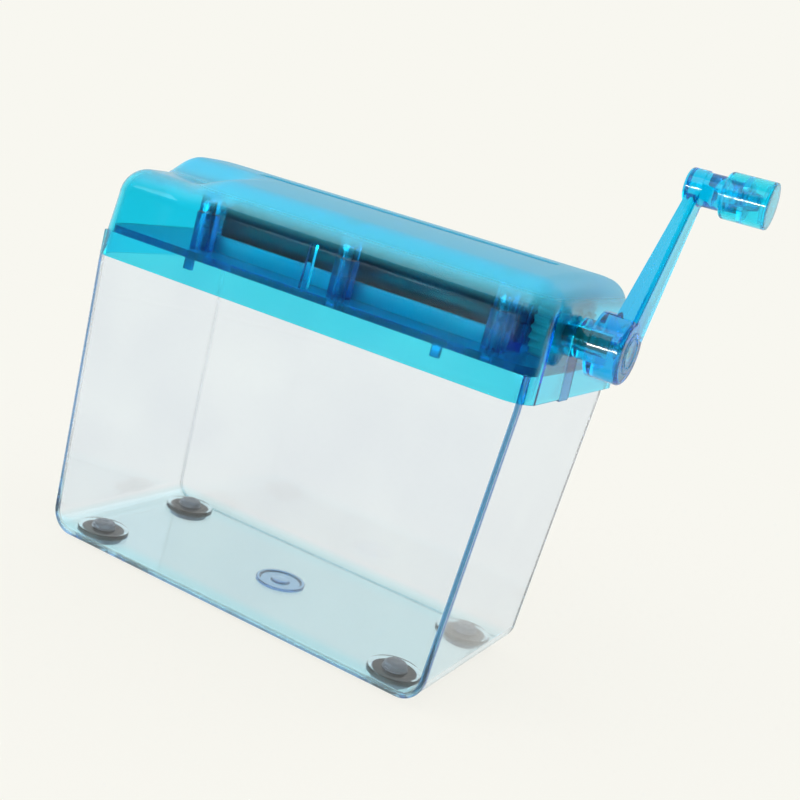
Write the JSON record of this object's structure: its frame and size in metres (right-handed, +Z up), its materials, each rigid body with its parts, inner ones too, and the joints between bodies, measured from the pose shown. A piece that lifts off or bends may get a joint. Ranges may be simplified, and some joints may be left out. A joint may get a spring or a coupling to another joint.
{
  "type": "hand-crank paper shredder",
  "caption": "Hand-crank strip-cut paper shredder: translucent blue cutting head with a top feed slot and a side crank, on a clear open-topped bin with rubber feet.",
  "frame": {"origin": "centre of the whole object's footprint (bounding box), on the plane the rubber feet stand on", "axes": "+X along the cutter shafts towards the crank (right), +Y from the front to the back, +Z up"},
  "size_m": [0.2056, 0.088, 0.1835],
  "materials": {
    "bin": "clear moulded plastic, slightly cloudy",
    "foot_front_left": "matt rubber",
    "foot_front_right": "matt rubber",
    "foot_back_left": "matt rubber",
    "foot_back_right": "matt rubber",
    "cover": "translucent cyan-blue plastic",
    "base_frame": "translucent blue plastic",
    "left_bearing_cap": "translucent blue plastic",
    "right_bearing_cap": "translucent blue plastic",
    "front_left_bush": "natural white nylon",
    "front_right_bush": "natural white nylon",
    "rear_left_bush": "natural white nylon",
    "rear_right_bush": "natural white nylon",
    "front_shaft": "blackened steel",
    "front_cutters": "dark oiled steel",
    "front_spacers": "black plastic",
    "front_clip": "spring steel",
    "drive_gear": "white nylon",
    "rear_shaft": "blackened steel",
    "rear_cutters": "dark oiled steel",
    "rear_spacers": "black plastic",
    "rear_clip": "spring steel",
    "driven_gear": "white nylon",
    "front_comb": "satin black plastic",
    "rear_comb": "satin black plastic",
    "front_guard": "milky translucent blue plastic",
    "rear_guard": "milky translucent blue plastic",
    "comb_screws": "zinc-plated steel",
    "cap_screws": "zinc-plated steel",
    "cover_screws": "zinc-plated steel",
    "crank_arm": "translucent blue plastic",
    "crank_screw": "zinc-plated steel",
    "hub_cap": "translucent blue plastic",
    "knob": "translucent cyan-blue plastic",
    "knob_cap": "translucent cyan-blue plastic"
  },
  "bodies": {
    "base": {"bin": "bin", "foot_front_left": "foot_front_left", "foot_front_right": "foot_front_right", "foot_back_left": "foot_back_left", "foot_back_right": "foot_back_right"},
    "head": {"cover": "cover", "base_frame": "base_frame", "left_bearing_cap": "left_bearing_cap", "right_bearing_cap": "right_bearing_cap", "front_left_bush": "front_left_bush", "front_right_bush": "front_right_bush", "rear_left_bush": "rear_left_bush", "rear_right_bush": "rear_right_bush", "front_comb": "front_comb", "rear_comb": "rear_comb", "front_guard": "front_guard", "rear_guard": "rear_guard", "comb_screws": "comb_screws", "cap_screws": "cap_screws", "cover_screws": "cover_screws"},
    "drive": {"front_shaft": "front_shaft", "front_cutters": "front_cutters", "front_spacers": "front_spacers", "front_clip": "front_clip", "drive_gear": "drive_gear", "crank_arm": "crank_arm", "crank_screw": "crank_screw", "hub_cap": "hub_cap"},
    "rear_cutter": {"rear_shaft": "rear_shaft", "rear_cutters": "rear_cutters", "rear_spacers": "rear_spacers", "rear_clip": "rear_clip", "driven_gear": "driven_gear"},
    "knob": {"knob": "knob", "knob_cap": "knob_cap"}
  },
  "joints": [
    {"name": "head_lift", "type": "slide", "parent": "base", "child": "head", "axis": [0, 0, 1], "range_m": [0, 0.04]},
    {"name": "crank_spin", "type": "hinge", "parent": "head", "child": "drive", "pos_m": [0.06521, -0.011, 0.123], "axis": [1, 0, 0], "continuous": true},
    {"name": "rear_cutter_spin", "type": "hinge", "parent": "head", "child": "rear_cutter", "pos_m": [0.05121, 0.0071, 0.123], "axis": [1, 0, 0], "continuous": true},
    {"name": "knob_spin", "type": "hinge", "parent": "drive", "child": "knob", "pos_m": [0.09521, 0.01717, 0.17598], "axis": [1, 0, 0], "continuous": true}
  ],
  "couplings": [
    {"joint": "rear_cutter_spin", "follows": "crank_spin", "ratio": -1}
  ]
}
